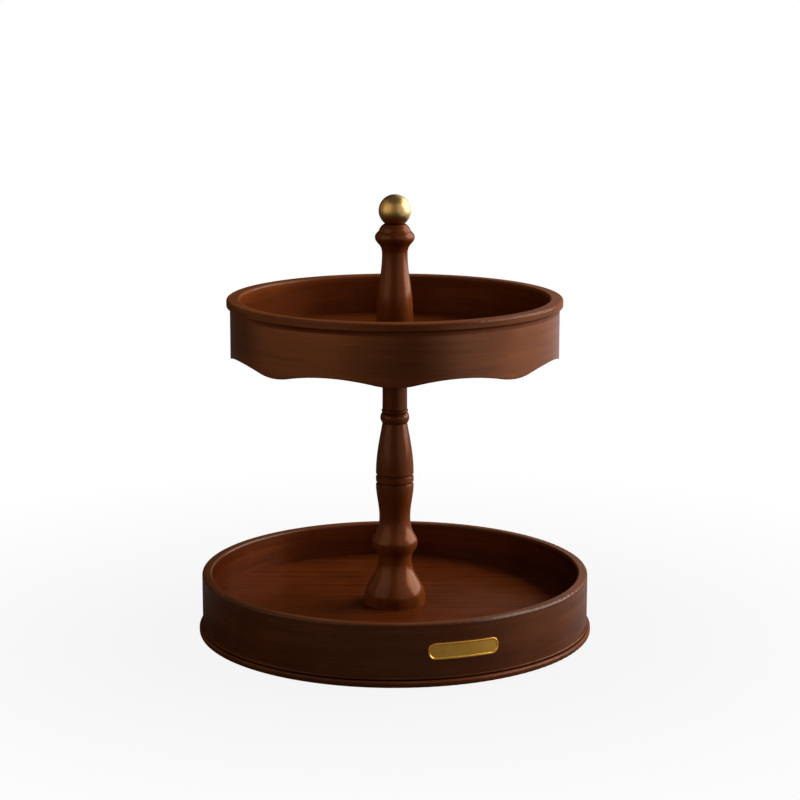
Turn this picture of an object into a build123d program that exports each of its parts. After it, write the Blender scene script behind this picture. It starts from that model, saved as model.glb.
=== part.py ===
from build123d import *

import os
from math import cos, pi, radians, sin

# Two-tier turning vanity tray. A turned post carries a small scalloped tray above a large round one,
# and both trays turn together on a ring bearing that is screwed to a flat base ring.
# Millimetres, +Z up. The origin is on the table under the post's axis, and the front faces -Y.

# Fits and cutting
GLUE_LINE = 0.1
THREAD_CLEARANCE = 0.05
BOLT_CLEARANCE = 0.4
OVERRUN = 5.0

# Angles in degrees
QUARTER_TURN = 90.0
HALF_TURN = 180.0

# Feet and base ring
FOOT_COUNT = 6
FOOT_RADIUS = 8.0
FOOT_THICKNESS = 1.5
FOOT_EDGE_ROUND = 0.5
FOOT_INSET = 22.0
BASE_LIP = 2.7
BASE_THICKNESS = 4.6
BASE_EDGE_ROUND = 1.2
TURNING_GAP = 0.8

# Ring bearing
BALL_COUNT = 24
BALL_RADIUS = 2.0
BALL_CLEARANCE = 0.2
BALL_CIRCLE_RADIUS = 90.0
RACE_GAP = 1.4
RACE_WIDTH = 5.0
RACE_HEIGHT = 6.8
RACE_STAGGER = 1.0
FLANGE_WIDTH = 12.0
FLANGE_THICKNESS = 2.6
CAGE_THICKNESS = 0.7
CAGE_HEIGHT = 5.0
SCREW_COUNT = 6
SCREW_HEAD_RADIUS = 3.0
SCREW_SHANK_RADIUS = 1.5
SCREW_POINT_LENGTH = 1.5
SCREW_BITE_SHARE = 0.65

# Lower tray
LOWER_WALL_RADIUS = 147.3
LOWER_WALL_THICKNESS = 7.5
LOWER_TRAY_DEPTH = 26.5
LOWER_FLOOR_THICKNESS = 7.0
LOWER_RABBET = 3.2
LOWER_RIM_ROUND = 1.6
SKIRT_LIP = 1.1
SKIRT_LIP_HEIGHT = 1.4
SKIRT_LIP_ROUND = 0.5

# Brass plate on the lower tray's wall, bare
PLATE_LENGTH = 53.6
PLATE_HEIGHT = 12.1
PLATE_THICKNESS = 1.2
PLATE_CORNER_RADIUS = 5.2
PLATE_EDGE_ROUND = 0.5
PLATE_ANGLE = 19.5
PLATE_HEIGHT_SHARE = 0.5

# Upper tray
UPPER_WALL_RADIUS = 123.4
UPPER_WALL_THICKNESS = 7.5
UPPER_TRAY_DEPTH = 30.0
UPPER_FLOOR_THICKNESS = 6.0
UPPER_RABBET = 3.1
APRON_DROP = 5.0
SCALLOP_COUNT = 8
SCALLOP_DEPTH = 5.2
SCALLOP_TURN_SHARE = 0.7
APRON_EDGE_ROUND = 0.8
RIM_HEIGHT = 9.6
RIM_FACE_HEIGHT = 5.6
RIM_OVERHANG = 2.6
RIM_TOP_ROUND = 1.7
RIM_NOSE_ROUND = 0.7

# Lower post: radii of its turned members, and their heights as shares of its length
LOWER_POST_LENGTH = 201.1
FOOT_MEMBER_RADIUS = 23.5
NECK_RADIUS = 12.8
RING_RADIUS = 17.4
WAIST_RADIUS = 11.8
BELLY_RADIUS = 14.4
THROAT_RADIUS = 9.4
BEAD_RADIUS = 11.0
POST_LIP_RADIUS = 10.1
POST_LIP_HEIGHT = 2.2
CAPITAL_RADIUS = 18.0
POST_GROOVE_DEPTH = 1.2
POST_GROOVE_WIDTH = 1.8
POST_GROOVE_ROUND = 0.5
POST_EDGE_ROUND = 1.0
FOOT_MEMBER_SHARE = 0.014
NECK_SHARE = 0.17
LOW_FLANK_SHARE = 0.205
RING_SHARE = 0.236
HIGH_FLANK_SHARE = 0.267
WAIST_SHARE = 0.336
SHOULDER_SHARE = 0.466
BELLY_SHARE = 0.504
THROAT_SHARE = 0.7
BEAD_TOP_SHARE = 0.742
CAPITAL_SHARE = 0.978
THROAT_LEAN_SHARE = 0.18
CAPITAL_RISE_SHARE = 0.8

# Upper post: radii of its turned members, and their heights as shares of its length
UPPER_POST_LENGTH = 84.6
SHAFT_FOOT_RADIUS = 14.2
SHAFT_MIDDLE_RADIUS = 12.8
SHAFT_NECK_RADIUS = 9.6
COLLAR_RADIUS = 14.9
COLLAR_TOP_RADIUS = 12.7
SEAT_BEAD_RADIUS = 12.1
SEAT_SHOULDER_RADIUS = 11.2
SEAT_RADIUS = 8.5
SHAFT_MIDDLE_SHARE = 0.3725
SHAFT_NECK_SHARE = 0.739
COLLAR_FLANK_SHARE = 0.8275
COLLAR_SHARE = 0.8865
COLLAR_TOP_SHARE = 0.934
SEAT_SHOULDER_SHARE = 0.9645
SHAFT_LEAN_SHARE = 0.03
COLLAR_RISE_SHARE = 1.2

# Brass ball finial
BALL_FINIAL_RADIUS = 12.1
FINIAL_SEAT_DROP = 10.1

# Bolts, studs and threaded inserts that clamp the post and the trays together
BOLT_RADIUS = 4.0
BOLT_HEAD_SIDES = 6
BOLT_HEAD_FLATS = 13.0
BOLT_HEAD_HEIGHT = 5.3
BOLT_HEAD_CHAMFER = 0.6
WASHER_RADIUS = 10.0
WASHER_THICKNESS = 1.6
INSERT_WALL = 1.8
INSERT_LENGTH = 16.0
THREAD_BITE_SHARE = 0.85
FINIAL_STUD_RADIUS = 2.5
FINIAL_INSERT_WALL = 1.2
FINIAL_INSERT_LENGTH = 13.0
FINIAL_TAP_DEPTH = 10.0

# Heights that follow, from the table up
base_bottom = FOOT_THICKNESS
base_top = base_bottom + BASE_THICKNESS
skirt_bottom = base_top + TURNING_GAP
lower_floor_bottom = base_top + RACE_HEIGHT + RACE_STAGGER
lower_floor_top = lower_floor_bottom + LOWER_FLOOR_THICKNESS
lower_rim_top = lower_floor_top + LOWER_TRAY_DEPTH
upper_floor_bottom = lower_floor_top + LOWER_POST_LENGTH
upper_floor_top = upper_floor_bottom + UPPER_FLOOR_THICKNESS
scallop_crown = upper_floor_bottom - APRON_DROP
scallop_tip = scallop_crown - SCALLOP_DEPTH
upper_rim_top = upper_floor_top + UPPER_TRAY_DEPTH
upper_wall_top = upper_rim_top - RIM_HEIGHT
finial_seat = upper_floor_top + UPPER_POST_LENGTH
finial_centre = finial_seat + FINIAL_SEAT_DROP
ball_height = (base_top + lower_floor_bottom) / 2

# Radii that follow
base_radius = LOWER_WALL_RADIUS + BASE_LIP
outer_race_radius = BALL_CIRCLE_RADIUS + RACE_GAP / 2
inner_race_radius = BALL_CIRCLE_RADIUS - RACE_GAP / 2
outer_flange_start = outer_race_radius + RACE_WIDTH
inner_flange_start = inner_race_radius - RACE_WIDTH
outer_screw_circle = outer_flange_start + FLANGE_WIDTH / 2
inner_screw_circle = inner_flange_start - FLANGE_WIDTH / 2
base_opening_radius = inner_flange_start
lower_inner_radius = LOWER_WALL_RADIUS - LOWER_WALL_THICKNESS
lower_rabbet_radius = lower_inner_radius + LOWER_RABBET
upper_inner_radius = UPPER_WALL_RADIUS - UPPER_WALL_THICKNESS
upper_rabbet_radius = upper_inner_radius + UPPER_RABBET
rim_radius = UPPER_WALL_RADIUS + RIM_OVERHANG
insert_radius = BOLT_RADIUS + INSERT_WALL
finial_insert_radius = FINIAL_STUD_RADIUS + FINIAL_INSERT_WALL

front_angle = -QUARTER_TURN
scallop_start_angle = front_angle + HALF_TURN / SCALLOP_COUNT

os.makedirs("parts", exist_ok=True)


def save(piece, label):
    """Label a finished piece and write it as one STEP file."""
    piece.label = label
    export_step(piece, f"parts/{label}.step")


# Rubber feet under the base ring
with BuildPart() as base_feet:
    with BuildSketch():
        with PolarLocations(base_radius - FOOT_INSET, FOOT_COUNT):
            Circle(FOOT_RADIUS)
    extrude(amount=FOOT_THICKNESS)
    fillet(base_feet.edges().group_by(Axis.Z)[0], FOOT_EDGE_ROUND)
save(base_feet.part, "base_feet")

# Base ring: a flat wooden ring with a wide opening that lets a screwdriver reach the inner race
screw_head_height = SCREW_HEAD_RADIUS - SCREW_SHANK_RADIUS
outer_screw_length = FLANGE_THICKNESS + SCREW_BITE_SHARE * BASE_THICKNESS
inner_screw_length = FLANGE_THICKNESS + SCREW_BITE_SHARE * LOWER_FLOOR_THICKNESS
pilot_radius = SCREW_SHANK_RADIUS + THREAD_CLEARANCE
outer_heads = Plane((0, 0, base_top + FLANGE_THICKNESS))
inner_heads = Plane((0, 0, lower_floor_bottom - FLANGE_THICKNESS), x_dir=(1, 0, 0), z_dir=(0, 0, -1))
with BuildPart() as base_ring:
    with BuildSketch(Plane.XY.offset(base_bottom)):
        Circle(base_radius)
        Circle(base_opening_radius, mode=Mode.SUBTRACT)
    extrude(amount=BASE_THICKNESS)
    outer_edges = base_ring.edges().filter_by(GeomType.CIRCLE).sort_by(SortBy.RADIUS)[-2:]
    fillet(outer_edges, BASE_EDGE_ROUND)
    with BuildSketch(Plane.XY.offset(base_top)):
        with PolarLocations(outer_screw_circle, SCREW_COUNT):
            Circle(pilot_radius)
    extrude(amount=FLANGE_THICKNESS - outer_screw_length, mode=Mode.SUBTRACT)
save(base_ring.part, "base_ring")

# Outer race, screwed down to the base ring
groove_radius = BALL_RADIUS + BALL_CLEARANCE
with BuildPart() as outer_race:
    with BuildSketch(Plane.XZ):
        with BuildLine():
            Polyline(
                (outer_race_radius, base_top),
                (outer_flange_start + FLANGE_WIDTH, base_top),
                (outer_flange_start + FLANGE_WIDTH, base_top + FLANGE_THICKNESS),
                (outer_flange_start, base_top + FLANGE_THICKNESS),
                (outer_flange_start, base_top + RACE_HEIGHT),
                (outer_race_radius, base_top + RACE_HEIGHT),
                close=True,
            )
        make_face()
        with Locations((BALL_CIRCLE_RADIUS, ball_height)):
            Circle(groove_radius, mode=Mode.SUBTRACT)
    revolve(axis=Axis.Z)
    with Locations(outer_heads):
        with PolarLocations(outer_screw_circle, SCREW_COUNT):
            CounterSinkHole(
                pilot_radius,
                SCREW_HEAD_RADIUS + THREAD_CLEARANCE,
                counter_sink_angle=QUARTER_TURN,
            )
save(outer_race.part, "outer_race")

# Inner race, screwed up to the tray's floor
with BuildPart() as inner_race:
    with BuildSketch(Plane.XZ):
        with BuildLine():
            Polyline(
                (inner_race_radius, lower_floor_bottom),
                (inner_flange_start - FLANGE_WIDTH, lower_floor_bottom),
                (inner_flange_start - FLANGE_WIDTH, lower_floor_bottom - FLANGE_THICKNESS),
                (inner_flange_start, lower_floor_bottom - FLANGE_THICKNESS),
                (inner_flange_start, lower_floor_bottom - RACE_HEIGHT),
                (inner_race_radius, lower_floor_bottom - RACE_HEIGHT),
                close=True,
            )
        make_face()
        with Locations((BALL_CIRCLE_RADIUS, ball_height)):
            Circle(groove_radius, mode=Mode.SUBTRACT)
    revolve(axis=Axis.Z)
    with Locations(inner_heads):
        with PolarLocations(inner_screw_circle, SCREW_COUNT):
            CounterSinkHole(
                pilot_radius,
                SCREW_HEAD_RADIUS + THREAD_CLEARANCE,
                counter_sink_angle=QUARTER_TURN,
            )
save(inner_race.part, "inner_race")

# Steel balls, and the thin cage that spaces them between the races
with BuildPart() as bearing_balls:
    with Locations((0, 0, ball_height)):
        with PolarLocations(BALL_CIRCLE_RADIUS, BALL_COUNT):
            Sphere(BALL_RADIUS)
save(bearing_balls.part, "bearing_balls")

with BuildPart() as ball_cage:
    with BuildSketch(Plane.XY.offset(ball_height - CAGE_HEIGHT / 2)):
        Circle(BALL_CIRCLE_RADIUS + CAGE_THICKNESS / 2)
        Circle(BALL_CIRCLE_RADIUS - CAGE_THICKNESS / 2, mode=Mode.SUBTRACT)
    extrude(amount=CAGE_HEIGHT)
    with Locations((0, 0, ball_height)):
        with PolarLocations(BALL_CIRCLE_RADIUS, BALL_COUNT):
            Cylinder(
                BALL_RADIUS + BALL_CLEARANCE,
                RACE_GAP,
                rotation=(0, QUARTER_TURN, 0),
                mode=Mode.SUBTRACT,
            )
save(ball_cage.part, "ball_cage")


def countersunk_screws(length, head_plane, circle):
    """A ring of countersunk screws; head_plane lies on their heads and faces away from the points."""
    shank_end = length - SCREW_POINT_LENGTH
    with BuildPart() as screw:
        with BuildSketch(Plane.XZ):
            with BuildLine():
                Polyline(
                    (0, 0),
                    (SCREW_HEAD_RADIUS, 0),
                    (SCREW_SHANK_RADIUS, -screw_head_height),
                    (SCREW_SHANK_RADIUS, -shank_end),
                    (0, -length),
                    close=True,
                )
            make_face()
        revolve(axis=Axis.Z)
    with BuildPart() as ring:
        with Locations(head_plane):
            with PolarLocations(circle, SCREW_COUNT):
                add(screw.part)
    return ring.part


save(countersunk_screws(outer_screw_length, outer_heads, outer_screw_circle), "outer_race_screws")
save(countersunk_screws(inner_screw_length, inner_heads, inner_screw_circle), "inner_race_screws")

# Lower tray's floor, a disc that slips up into the wall's rabbet
with BuildPart() as lower_floor:
    with BuildSketch(Plane.XY.offset(lower_floor_bottom)):
        Circle(lower_rabbet_radius - GLUE_LINE)
        Circle(BOLT_RADIUS + BOLT_CLEARANCE, mode=Mode.SUBTRACT)
    extrude(amount=LOWER_FLOOR_THICKNESS)
    with BuildSketch(Plane.XY.offset(lower_floor_bottom)):
        with PolarLocations(inner_screw_circle, SCREW_COUNT):
            Circle(pilot_radius)
    extrude(amount=inner_screw_length - FLANGE_THICKNESS, mode=Mode.SUBTRACT)
save(lower_floor.part, "lower_tray_floor")

# Lower tray's wall: a bent hoop with a rabbet for the floor, and a skirt with a thin lip over the bearing
lip_top = skirt_bottom + SKIRT_LIP_HEIGHT
lip_radius = LOWER_WALL_RADIUS + SKIRT_LIP
with BuildPart() as lower_wall:
    with BuildSketch(Plane.XZ) as wall_section:
        with BuildLine():
            Polyline(
                (lip_radius, lip_top),
                (lip_radius, skirt_bottom),
                (lower_rabbet_radius, skirt_bottom),
                (lower_rabbet_radius, lower_floor_top),
                (lower_inner_radius, lower_floor_top),
                (lower_inner_radius, lower_rim_top),
                (LOWER_WALL_RADIUS, lower_rim_top),
                (LOWER_WALL_RADIUS, lip_top),
                close=True,
            )
        make_face()
        fillet(wall_section.vertices().group_by(Axis.Y)[-1], LOWER_RIM_ROUND)
        fillet(wall_section.vertices().group_by(Axis.X)[-1], SKIRT_LIP_ROUND)
    revolve(axis=Axis.Z)
save(lower_wall.part, "lower_tray_wall")

# Brass plate, bent to the wall and rounded at its corners
plate_inner_radius = LOWER_WALL_RADIUS + GLUE_LINE
plate_outer_radius = plate_inner_radius + PLATE_THICKNESS
plate_height = skirt_bottom + PLATE_HEIGHT_SHARE * (lower_rim_top - skirt_bottom)
plate_facing = radians(front_angle + PLATE_ANGLE)
plate_outward = (cos(plate_facing), sin(plate_facing), 0)
plate_sideways = (-sin(plate_facing), cos(plate_facing), 0)
plate_plane = Plane((0, 0, plate_height), x_dir=plate_sideways, z_dir=plate_outward)
with BuildPart() as nameplate:
    with BuildSketch(plate_plane):
        RectangleRounded(PLATE_LENGTH, PLATE_HEIGHT, PLATE_CORNER_RADIUS)
    extrude(amount=plate_outer_radius + OVERRUN)
    with BuildSketch(Plane.XY.offset(plate_height - PLATE_HEIGHT)):
        Circle(plate_outer_radius)
        Circle(plate_inner_radius, mode=Mode.SUBTRACT)
    extrude(amount=PLATE_HEIGHT * 2, mode=Mode.INTERSECT)
    face = nameplate.faces().filter_by(GeomType.CYLINDER).sort_by(SortBy.AREA)[-1]
    fillet(face.edges(), PLATE_EDGE_ROUND)
save(nameplate.part, "nameplate")

# Upper tray's floor
with BuildPart() as upper_floor:
    with BuildSketch(Plane.XY.offset(upper_floor_bottom)):
        Circle(upper_rabbet_radius - GLUE_LINE)
        Circle(BOLT_RADIUS + BOLT_CLEARANCE, mode=Mode.SUBTRACT)
    extrude(amount=UPPER_FLOOR_THICKNESS)
save(upper_floor.part, "upper_tray_floor")

# One arch of the apron: a flat arch arc that turns over into half a rounded tip on each side
arch_half = UPPER_WALL_RADIUS * sin(pi / SCALLOP_COUNT)
turn_point = (SCALLOP_TURN_SHARE * arch_half, scallop_crown - SCALLOP_TURN_SHARE * SCALLOP_DEPTH)
with BuildPart() as arch_cutter:
    with BuildSketch(Plane.YZ):
        with BuildLine():
            crown_arc = TangentArc((0, scallop_crown), turn_point, tangent=(1, 0))
            tip_arc = TangentArc(turn_point, (arch_half, scallop_tip), tangent=crown_arc % 1)
            Polyline(
                tip_arc @ 1,
                (arch_half, scallop_tip - OVERRUN),
                (0, scallop_tip - OVERRUN),
                (0, scallop_crown),
            )
        make_face()
        mirror(about=Plane.YZ)
    extrude(amount=UPPER_WALL_RADIUS + OVERRUN)

# Upper tray's wall, a hoop with a rabbet for the floor and a scalloped apron below it
with BuildPart() as upper_wall:
    with BuildSketch(Plane.XZ):
        with BuildLine():
            Polyline(
                (UPPER_WALL_RADIUS, scallop_tip),
                (upper_rabbet_radius, scallop_tip),
                (upper_rabbet_radius, upper_floor_top),
                (upper_inner_radius, upper_floor_top),
                (upper_inner_radius, upper_wall_top),
                (UPPER_WALL_RADIUS, upper_wall_top),
                close=True,
            )
        make_face()
    revolve(axis=Axis.Z)
    with PolarLocations(0, SCALLOP_COUNT, start_angle=scallop_start_angle):
        add(arch_cutter.part, mode=Mode.SUBTRACT)
    apron_edges = upper_wall.edges().filter_by_position(Axis.Z, scallop_tip, scallop_crown)
    fillet(apron_edges.filter_by(GeomType.LINE, reverse=True), APRON_EDGE_ROUND)
save(upper_wall.part, "upper_tray_wall")

# Rim moulding glued on top of the upper wall: flat top, upright face and a cove below it
cove_top = upper_rim_top - RIM_FACE_HEIGHT
cove_height = cove_top - upper_wall_top
cove_middle_share = sin(pi / 4)
cove_middle = (
    rim_radius - cove_middle_share * RIM_OVERHANG,
    upper_wall_top + cove_middle_share * cove_height,
)
with BuildPart() as upper_rim:
    with BuildSketch(Plane.XZ) as rim_section:
        with BuildLine():
            ThreePointArc((UPPER_WALL_RADIUS, upper_wall_top), cove_middle, (rim_radius, cove_top))
            Polyline(
                (rim_radius, cove_top),
                (rim_radius, upper_rim_top),
                (upper_inner_radius, upper_rim_top),
                (upper_inner_radius, upper_wall_top),
                (UPPER_WALL_RADIUS, upper_wall_top),
            )
        make_face()
        fillet(rim_section.vertices().group_by(Axis.Y)[-1], RIM_TOP_ROUND)
        fillet(rim_section.vertices().group_by(Axis.X)[-1].sort_by(Axis.Y)[0], RIM_NOSE_ROUND)
    revolve(axis=Axis.Z)
save(upper_rim.part, "upper_tray_rim")


def post_height(share):
    """Height of a turned member of the lower post."""
    return lower_floor_top + share * LOWER_POST_LENGTH


def shaft_height(share):
    """Height of a turned member of the upper post."""
    return upper_floor_top + share * UPPER_POST_LENGTH


# Lower post: bell foot, ring, vase, grooved band, bulb, bead, and a flared capital under the upper tray
shoulder = post_height(SHOULDER_SHARE)
belly = post_height(BELLY_SHARE)
throat = post_height(THROAT_SHARE)
bead_top = post_height(BEAD_TOP_SHARE)
groove_bottom_radius = BELLY_RADIUS - POST_GROOVE_DEPTH
ring_flank_radius = (NECK_RADIUS + RING_RADIUS) / 2
with BuildPart() as lower_post:
    with BuildSketch(Plane.XZ) as post_section:
        with BuildLine():
            foot = Polyline(
                (0, lower_floor_top),
                (FOOT_MEMBER_RADIUS, lower_floor_top),
                (FOOT_MEMBER_RADIUS, post_height(FOOT_MEMBER_SHARE)),
            )
            bell = Spline(foot @ 1, (NECK_RADIUS, post_height(NECK_SHARE)), tangents=((0, 1), (0, 1)))
            ring = Spline(
                bell @ 1,
                (ring_flank_radius, post_height(LOW_FLANK_SHARE)),
                (RING_RADIUS, post_height(RING_SHARE)),
                tangents=((0, 1), (0, 1)),
            )
            flare = Spline(
                ring @ 1,
                (ring_flank_radius, post_height(HIGH_FLANK_SHARE)),
                (WAIST_RADIUS, post_height(WAIST_SHARE)),
                tangents=((0, 1), (0, 1)),
            )
            vase = Spline(flare @ 1, (BELLY_RADIUS, shoulder), tangents=((0, 1), (0, 1)))
            low_groove = ThreePointArc(
                vase @ 1,
                (groove_bottom_radius, shoulder + POST_GROOVE_WIDTH / 2),
                (BELLY_RADIUS, shoulder + POST_GROOVE_WIDTH),
            )
            band = Line(low_groove @ 1, (BELLY_RADIUS, belly - POST_GROOVE_WIDTH))
            high_groove = ThreePointArc(
                band @ 1,
                (groove_bottom_radius, belly - POST_GROOVE_WIDTH / 2),
                (BELLY_RADIUS, belly),
            )
            taper = Spline(
                high_groove @ 1,
                (THROAT_RADIUS, throat),
                tangents=((0, 1), (-THROAT_LEAN_SHARE, 1)),
            )
            bead = ThreePointArc(
                taper @ 1,
                (BEAD_RADIUS, (throat + bead_top) / 2),
                (THROAT_RADIUS, bead_top),
            )
            lip = ThreePointArc(
                bead @ 1,
                (POST_LIP_RADIUS, bead_top + POST_LIP_HEIGHT / 2),
                (THROAT_RADIUS, bead_top + POST_LIP_HEIGHT),
            )
            capital = Spline(
                lip @ 1,
                (CAPITAL_RADIUS, post_height(CAPITAL_SHARE)),
                tangents=((0, 1), (1, CAPITAL_RISE_SHARE)),
            )
            Polyline(
                capital @ 1,
                (CAPITAL_RADIUS, upper_floor_bottom),
                (0, upper_floor_bottom),
                (0, lower_floor_top),
            )
        make_face()
        band_low = shoulder - POST_GROOVE_WIDTH
        band_high = belly + POST_GROOVE_WIDTH
        fillet(post_section.vertices().filter_by_position(Axis.Y, band_low, band_high), POST_GROOVE_ROUND)
    revolve(axis=Axis.Z)
    fillet(lower_post.edges().filter_by(GeomType.CIRCLE).sort_by(Axis.Z)[-2], POST_EDGE_ROUND)
    with BuildSketch(Plane.XY.offset(lower_floor_top)):
        Circle(insert_radius + GLUE_LINE)
    extrude(amount=INSERT_LENGTH, mode=Mode.SUBTRACT)
    with BuildSketch(Plane.XY.offset(upper_floor_bottom)):
        Circle(insert_radius + GLUE_LINE)
    extrude(amount=-INSERT_LENGTH, mode=Mode.SUBTRACT)
save(lower_post.part, "lower_post")

# Upper post: a tapered shaft, a collar bulb and a small seat bead for the ball
collar_flank_radius = (SHAFT_NECK_RADIUS + COLLAR_RADIUS) / 2
with BuildPart() as upper_post:
    with BuildSketch(Plane.XZ):
        with BuildLine():
            sole = Line((0, upper_floor_top), (SHAFT_FOOT_RADIUS, upper_floor_top))
            shaft = Spline(
                sole @ 1,
                (SHAFT_MIDDLE_RADIUS, shaft_height(SHAFT_MIDDLE_SHARE)),
                (SHAFT_NECK_RADIUS, shaft_height(SHAFT_NECK_SHARE)),
                tangents=((-SHAFT_LEAN_SHARE, 1), (0, 1)),
            )
            under = Spline(
                shaft @ 1,
                (collar_flank_radius, shaft_height(COLLAR_FLANK_SHARE)),
                (COLLAR_RADIUS, shaft_height(COLLAR_SHARE)),
                tangents=((0, 1), (0, 1)),
            )
            over = Spline(
                under @ 1,
                (COLLAR_TOP_RADIUS, shaft_height(COLLAR_TOP_SHARE)),
                tangents=((0, 1), (-1, COLLAR_RISE_SHARE)),
            )
            quirk = Line(over @ 1, (SEAT_BEAD_RADIUS, shaft_height(COLLAR_TOP_SHARE)))
            seat = Spline(
                quirk @ 1,
                (SEAT_SHOULDER_RADIUS, shaft_height(SEAT_SHOULDER_SHARE)),
                (SEAT_RADIUS, finial_seat),
            )
            Polyline(seat @ 1, (0, finial_seat), (0, upper_floor_top))
        make_face()
    revolve(axis=Axis.Z)
    with BuildSketch(Plane.XY.offset(upper_floor_top)):
        Circle(insert_radius + GLUE_LINE)
    extrude(amount=INSERT_LENGTH, mode=Mode.SUBTRACT)
    with BuildSketch(Plane.XY.offset(finial_seat)):
        Circle(finial_insert_radius + GLUE_LINE)
    extrude(amount=-FINIAL_INSERT_LENGTH, mode=Mode.SUBTRACT)
save(upper_post.part, "upper_post")


def threaded_insert(bottom, length, outer_radius, bore_radius):
    """A plain threaded bush, set in the end of a post."""
    with BuildPart() as insert:
        with BuildSketch(Plane.XY.offset(bottom)):
            Circle(outer_radius)
            Circle(bore_radius + THREAD_CLEARANCE, mode=Mode.SUBTRACT)
        extrude(amount=length)
    return insert.part


def plain_stud(bottom, top, radius):
    """A length of threaded rod, drawn at its outer diameter."""
    with BuildPart() as stud:
        with BuildSketch(Plane.XY.offset(bottom)):
            Circle(radius)
        extrude(amount=top - bottom)
    return stud.part


# Threaded inserts in the ends of the two posts
top_insert_bottom = upper_floor_bottom - INSERT_LENGTH
finial_insert_bottom = finial_seat - FINIAL_INSERT_LENGTH
foot_insert = threaded_insert(lower_floor_top, INSERT_LENGTH, insert_radius, BOLT_RADIUS)
top_insert = threaded_insert(top_insert_bottom, INSERT_LENGTH, insert_radius, BOLT_RADIUS)
shaft_insert = threaded_insert(upper_floor_top, INSERT_LENGTH, insert_radius, BOLT_RADIUS)
finial_insert = threaded_insert(
    finial_insert_bottom,
    FINIAL_INSERT_LENGTH,
    finial_insert_radius,
    FINIAL_STUD_RADIUS,
)
save(foot_insert, "lower_post_foot_insert")
save(top_insert, "lower_post_top_insert")
save(shaft_insert, "upper_post_insert")
save(finial_insert, "finial_insert")

# Stud that joins the posts through the upper tray, and the finial's own stud
bolt_bite = THREAD_BITE_SHARE * INSERT_LENGTH
finial_bite = THREAD_BITE_SHARE * FINIAL_INSERT_LENGTH
joining_stud = plain_stud(upper_floor_bottom - bolt_bite, upper_floor_top + bolt_bite, BOLT_RADIUS)
finial_stud = plain_stud(finial_seat - finial_bite, finial_seat + FINIAL_TAP_DEPTH, FINIAL_STUD_RADIUS)
save(joining_stud, "joining_stud")
save(finial_stud, "finial_stud")

# Bolt and washer that hold the post to the lower tray's floor from below
washer_bottom = lower_floor_bottom - WASHER_THICKNESS
with BuildPart() as post_washer:
    with BuildSketch(Plane.XY.offset(washer_bottom)):
        Circle(WASHER_RADIUS)
        Circle(BOLT_RADIUS + BOLT_CLEARANCE, mode=Mode.SUBTRACT)
    extrude(amount=WASHER_THICKNESS)
save(post_washer.part, "post_washer")

with BuildPart() as post_bolt:
    with BuildSketch(Plane.XY.offset(washer_bottom)):
        RegularPolygon(BOLT_HEAD_FLATS / 2, BOLT_HEAD_SIDES, major_radius=False)
    extrude(amount=-BOLT_HEAD_HEIGHT)
    chamfer(post_bolt.edges().group_by(Axis.Z)[0], BOLT_HEAD_CHAMFER)
    with BuildSketch(Plane.XY.offset(washer_bottom)):
        Circle(BOLT_RADIUS)
    extrude(amount=lower_floor_top + bolt_bite - washer_bottom)
save(post_bolt.part, "post_bolt")

# Ball finial, flattened where it sits on the post and tapped for its stud
with BuildPart() as finial_ball:
    with Locations((0, 0, finial_centre)):
        Sphere(BALL_FINIAL_RADIUS)
    split(bisect_by=Plane.XY.offset(finial_seat), keep=Keep.TOP)
    with BuildSketch(Plane.XY.offset(finial_seat)):
        Circle(FINIAL_STUD_RADIUS + THREAD_CLEARANCE)
    extrude(amount=FINIAL_TAP_DEPTH, mode=Mode.SUBTRACT)
save(finial_ball.part, "finial_ball")
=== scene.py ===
import math

import bmesh
import bpy
import numpy as np
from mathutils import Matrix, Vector


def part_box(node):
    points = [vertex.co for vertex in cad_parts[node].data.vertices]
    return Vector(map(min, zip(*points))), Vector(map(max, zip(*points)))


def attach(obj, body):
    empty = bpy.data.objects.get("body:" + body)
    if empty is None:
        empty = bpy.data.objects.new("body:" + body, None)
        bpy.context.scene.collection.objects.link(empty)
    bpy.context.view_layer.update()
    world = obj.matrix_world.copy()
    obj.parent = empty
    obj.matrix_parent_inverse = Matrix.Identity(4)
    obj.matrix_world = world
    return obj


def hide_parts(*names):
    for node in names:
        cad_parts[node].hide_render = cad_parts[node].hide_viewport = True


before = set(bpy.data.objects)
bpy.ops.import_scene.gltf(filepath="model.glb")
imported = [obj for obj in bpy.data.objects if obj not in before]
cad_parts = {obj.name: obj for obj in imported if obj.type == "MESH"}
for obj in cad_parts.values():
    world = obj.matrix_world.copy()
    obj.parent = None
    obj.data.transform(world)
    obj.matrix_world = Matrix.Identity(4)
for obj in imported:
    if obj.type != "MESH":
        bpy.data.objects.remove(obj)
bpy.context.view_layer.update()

# Looks of the two-tier turning vanity tray: stained and lacquered wood, brass ball and plate, and the metal,
# nylon and rubber of its bearing, fasteners and feet. Metres, +Z up, the front faces -Y.
MM = 0.001
QUARTER_TURN = math.pi / 2

# Camera of the photograph, which looks along +Y and a little down
CAMERA_BACK = 1.645
CAMERA_HEIGHT = 0.5075
CAMERA_PITCH = math.radians(11.29)
CAMERA_LENS = 99.86
CAMERA_SENSOR = 36.0
FRAME_SHIFT = 0.0065

# Light: a large soft window on the right, a little behind the object, and a dimmer warm one at the left front
LAMP_AIM = (0.0, 0.0, 0.16)
LAMPS = {
    "right_window": {
        "place": (1.50, 0.55, 0.85),
        "size": (2.0, 1.6),
        "power": 84.0,
        "colour": (1.0, 0.93, 0.85),
    },
    "left_window": {
        "place": (-1.38, -0.85, 0.88),
        "size": (1.8, 1.7),
        "power": 9.0,
        "colour": (1.0, 0.90, 0.78),
    },
}
WORLD_COLOUR = (1.0, 0.97, 0.93, 1.0)
WORLD_STRENGTH = 0.18

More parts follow.
